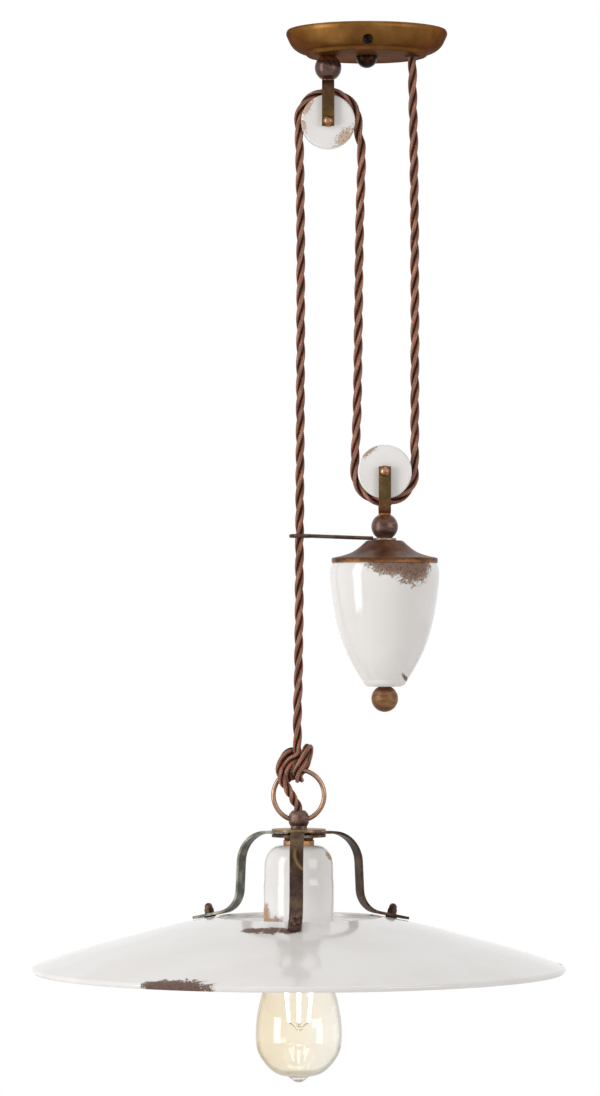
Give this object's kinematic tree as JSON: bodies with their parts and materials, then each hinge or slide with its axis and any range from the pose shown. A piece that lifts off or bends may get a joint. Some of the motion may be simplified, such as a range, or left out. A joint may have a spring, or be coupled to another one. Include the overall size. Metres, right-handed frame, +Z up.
{
  "type": "rise and fall pendant",
  "caption": "Rise and fall ceiling pendant with a wide ceramic shade, twisted cord over pulleys and a ceramic counterweight.",
  "frame": {"origin": "centre of the ceiling canopy, on the ceiling plane", "axes": "+Z up, +X to the right and +Y away from a viewer who faces the side with the cord exit on the right"},
  "size_m": [0.3996, 0.3996, 0.7885],
  "materials": {
    "ceiling_bracket": "satin",
    "canopy": "satin",
    "canopy_side_screws": "gloss",
    "centre_stud": "satin",
    "centre_ball_nut": "satin",
    "cord_grommet": "matte",
    "cord_clamp": "matte",
    "terminal_block": "gloss",
    "upper_hanger_screw": "satin",
    "upper_hanger_nut": "satin",
    "upper_ball": "satin",
    "upper_fork": "satin",
    "upper_axle": "satin",
    "cord_canopy_run": "matte",
    "cord_middle_run": "matte",
    "cord_upper_wrap": "matte",
    "cord_lamp_run": "matte",
    "upper_pulley": "gloss",
    "upper_pulley_bush": "satin",
    "lower_fork": "satin",
    "lower_axle": "satin",
    "weight_ball": "satin",
    "weight_washer": "satin",
    "guide_arm": "satin",
    "weight_cap": "satin",
    "weight_shell": "gloss",
    "ballast_core": "matte",
    "tie_rod": "satin",
    "weight_finial": "satin",
    "cord_lower_wrap": "matte",
    "lower_pulley": "gloss",
    "lower_pulley_bush": "satin",
    "suspension_ring": "satin",
    "cord_knot": "matte",
    "cord_tail": "matte",
    "head_ball": "satin",
    "top_disc": "satin",
    "lower_disc": "satin",
    "strap_rivets": "satin",
    "strap_front": "satin",
    "strap_right": "satin",
    "strap_left": "satin",
    "threaded_tube": "satin",
    "head_locknut": "satin",
    "head_collar": "satin",
    "lampholder_cup": "gloss",
    "lampholder_body": "matte",
    "socket_shell": "satin",
    "centre_contact": "satin",
    "lamp_leads": "gloss",
    "shade": "gloss",
    "shade_screws": "satin",
    "shade_nuts": "satin",
    "shade_washers": "matte",
    "bulb_glass": "gloss",
    "bulb_cap": "satin",
    "bulb_base_contact": "satin",
    "bulb_stem": "gloss",
    "bulb_filaments": "gloss",
    "bulb_wires": "satin"
  },
  "bodies": {
    "ceiling_set": {"ceiling_bracket": "ceiling_bracket", "canopy": "canopy", "canopy_side_screws": "canopy_side_screws", "centre_stud": "centre_stud", "centre_ball_nut": "centre_ball_nut", "cord_grommet": "cord_grommet", "cord_clamp": "cord_clamp", "terminal_block": "terminal_block", "upper_hanger_screw": "upper_hanger_screw", "upper_hanger_nut": "upper_hanger_nut", "upper_ball": "upper_ball", "upper_fork": "upper_fork", "upper_axle": "upper_axle", "cord_canopy_run": "cord_canopy_run", "cord_middle_run": "cord_middle_run", "cord_upper_wrap": "cord_upper_wrap", "cord_lamp_run": "cord_lamp_run"},
    "upper_wheel": {"upper_pulley": "upper_pulley", "upper_pulley_bush": "upper_pulley_bush"},
    "counterweight": {"lower_fork": "lower_fork", "lower_axle": "lower_axle", "weight_ball": "weight_ball", "weight_washer": "weight_washer", "guide_arm": "guide_arm", "weight_cap": "weight_cap", "weight_shell": "weight_shell", "ballast_core": "ballast_core", "tie_rod": "tie_rod", "weight_finial": "weight_finial", "cord_lower_wrap": "cord_lower_wrap"},
    "lower_wheel": {"lower_pulley": "lower_pulley", "lower_pulley_bush": "lower_pulley_bush"},
    "lamp_hanger": {"suspension_ring": "suspension_ring", "cord_knot": "cord_knot", "cord_tail": "cord_tail"},
    "lamp_head": {"head_ball": "head_ball", "top_disc": "top_disc", "lower_disc": "lower_disc", "strap_rivets": "strap_rivets", "strap_front": "strap_front", "strap_right": "strap_right", "strap_left": "strap_left", "threaded_tube": "threaded_tube", "head_locknut": "head_locknut", "head_collar": "head_collar", "lampholder_cup": "lampholder_cup", "lampholder_body": "lampholder_body", "socket_shell": "socket_shell", "centre_contact": "centre_contact", "lamp_leads": "lamp_leads", "shade": "shade", "shade_screws": "shade_screws", "shade_nuts": "shade_nuts", "shade_washers": "shade_washers"},
    "bulb": {"bulb_glass": "bulb_glass", "bulb_cap": "bulb_cap", "bulb_base_contact": "bulb_base_contact", "bulb_stem": "bulb_stem", "bulb_filaments": "bulb_filaments", "bulb_wires": "bulb_wires"}
  },
  "joints": [
    {"name": "lamp_slide", "type": "slide", "parent": "ceiling_set", "child": "lamp_hanger", "axis": [0, 0, 1], "range_m": [-0.33, 0.07], "deforming": ["cord_lamp_run"]},
    {"name": "counterweight_slide", "type": "slide", "parent": "ceiling_set", "child": "counterweight", "axis": [0, 0, 1], "range_m": [-0.036, 0.166], "deforming": ["cord_canopy_run", "cord_middle_run"]},
    {"name": "upper_pulley_spin", "type": "hinge", "parent": "ceiling_set", "child": "upper_wheel", "pos_m": [-0.029, 0, -0.0685], "axis": [0, 1, 0], "continuous": true},
    {"name": "lower_pulley_spin", "type": "hinge", "parent": "counterweight", "child": "lower_wheel", "pos_m": [0.0134, 0, -0.3314], "axis": [0, 1, 0], "continuous": true},
    {"name": "head_swing", "type": "hinge", "parent": "lamp_hanger", "child": "lamp_head", "pos_m": [-0.051, 0, -0.5917], "axis": [1, 0, 0], "range_deg": [-8, 8], "deforming": ["cord_tail"]},
    {"name": "bulb_unscrew", "type": "slide", "parent": "lamp_head", "child": "bulb", "axis": [0, 0, 1], "range_m": [-0.032, 0]}
  ],
  "couplings": [
    {"joint": "counterweight_slide", "follows": "lamp_slide", "ratio": -0.5},
    {"joint": "upper_pulley_spin", "follows": "lamp_slide", "rad_per_m": 44.444},
    {"joint": "lower_pulley_spin", "follows": "lamp_slide", "rad_per_m": -22.222}
  ]
}
